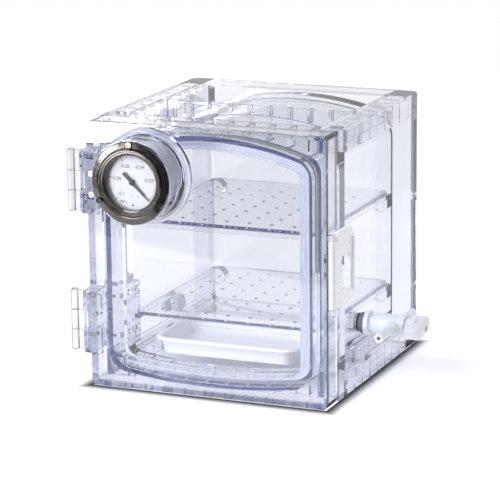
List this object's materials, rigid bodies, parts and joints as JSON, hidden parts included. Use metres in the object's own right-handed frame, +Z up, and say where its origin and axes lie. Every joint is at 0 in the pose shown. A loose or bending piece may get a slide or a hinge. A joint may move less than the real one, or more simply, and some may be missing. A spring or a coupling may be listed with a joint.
{
  "type": "cabinet vacuum desiccator",
  "caption": "Clear moulded cabinet desiccator with a hinged gasketed door, dial vacuum gauge, side latch, stopcock, perforated shelves and a tray.",
  "frame": {"origin": "centre of the cabinet's base, measured on the square body with the door shut and without hinges, gauge and valve", "axes": "+X to the right seen from the front, +Y from the door towards the back, +Z up"},
  "size_m": [0.3326, 0.3067, 0.27],
  "materials": {
    "clear_plastic": "clear, faint blue tint, polished mould",
    "white_plastic": "white moulded, satin gloss",
    "milky_plastic": "translucent natural, satin",
    "gasket_rubber": "translucent white, soft",
    "black_rubber": "matt",
    "dark_nut": "moulded grey",
    "port_blue": "moulded blue grey",
    "steel": "plain stainless",
    "pale_steel": "pale grey paint, satin",
    "dark_chrome": "polished dark chrome",
    "gauge_glass": "clear flat",
    "dial_white": "satin white, printed scale",
    "pointer_black": "satin black",
    "brass": "plain turned brass"
  },
  "bodies": {
    "cabinet": {"cabinet_shell": "clear_plastic", "lower_shelf": "clear_plastic", "upper_shelf": "clear_plastic", "desiccant_tray": "white_plastic", "upper_hinge_cabinet_leaf": "clear_plastic", "lower_hinge_cabinet_leaf": "clear_plastic", "upper_hinge_pin": "clear_plastic", "lower_hinge_pin": "clear_plastic", "cabinet_hinge_screws": "steel", "latch_keeper": "clear_plastic", "keeper_screws": "steel", "valve_body": "milky_plastic", "valve_seal": "black_rubber", "valve_lock_nut": "dark_nut", "valve_inner_nut": "white_plastic", "port_plug": "port_blue", "port_seal": "black_rubber", "port_nut": "port_blue"},
    "stopcock_key": {"valve_plug": "white_plastic", "valve_handle": "white_plastic", "handle_screw": "steel"},
    "door": {"door_panel": "clear_plastic", "door_gasket": "gasket_rubber", "upper_hinge_door_leaf": "clear_plastic", "lower_hinge_door_leaf": "clear_plastic", "door_hinge_screws": "steel", "latch_pin": "white_plastic", "gauge_case": "pale_steel", "gauge_flange": "dark_chrome", "gauge_flange_screws": "dark_chrome", "gauge_bezel": "dark_chrome", "gauge_lens": "gauge_glass", "dial_plate": "dial_white", "dial_screws": "steel", "gauge_socket": "brass", "bourdon_tube": "brass", "tip_link": "brass", "movement_front_plate": "brass", "movement_back_plate": "brass", "movement_pillars": "brass", "hairspring": "steel", "gauge_seal": "black_rubber", "gauge_washer": "steel", "gauge_nut": "brass"},
    "latch": {"latch_lever": "white_plastic"},
    "sector": {"sector_gear": "brass", "sector_arbor": "steel"},
    "needle": {"pinion": "steel", "pointer": "pointer_black", "pointer_hub": "pointer_black"}
  },
  "joints": [
    {"name": "door_swing", "type": "hinge", "parent": "cabinet", "child": "door", "pos_m": [-0.1485, -0.122, 0.135], "axis": [0, 0, -1], "range_deg": [0, 180]},
    {"name": "latch_swing", "type": "hinge", "parent": "door", "child": "latch", "pos_m": [0.1305, -0.126, 0.137], "axis": [0, 0, -1], "range_deg": [0, 100]},
    {"name": "stopcock_turn", "type": "hinge", "parent": "cabinet", "child": "stopcock_key", "pos_m": [0.147, 0.01, 0.051], "axis": [1, 0, 0], "range_deg": [-102, 78]},
    {"name": "sector_turn", "type": "hinge", "parent": "door", "child": "sector", "pos_m": [-0.0605, -0.1596, 0.199], "axis": [0, -1, 0], "range_deg": [-45, 0], "stiffness_Nm_per_rad": 0.005},
    {"name": "needle_turn", "type": "hinge", "parent": "door", "child": "needle", "pos_m": [-0.0605, -0.1596, 0.22], "axis": [0, -1, 0], "range_deg": [0, 270]}
  ],
  "couplings": [
    {"joint": "needle_turn", "follows": "sector_turn", "ratio": -6}
  ]
}
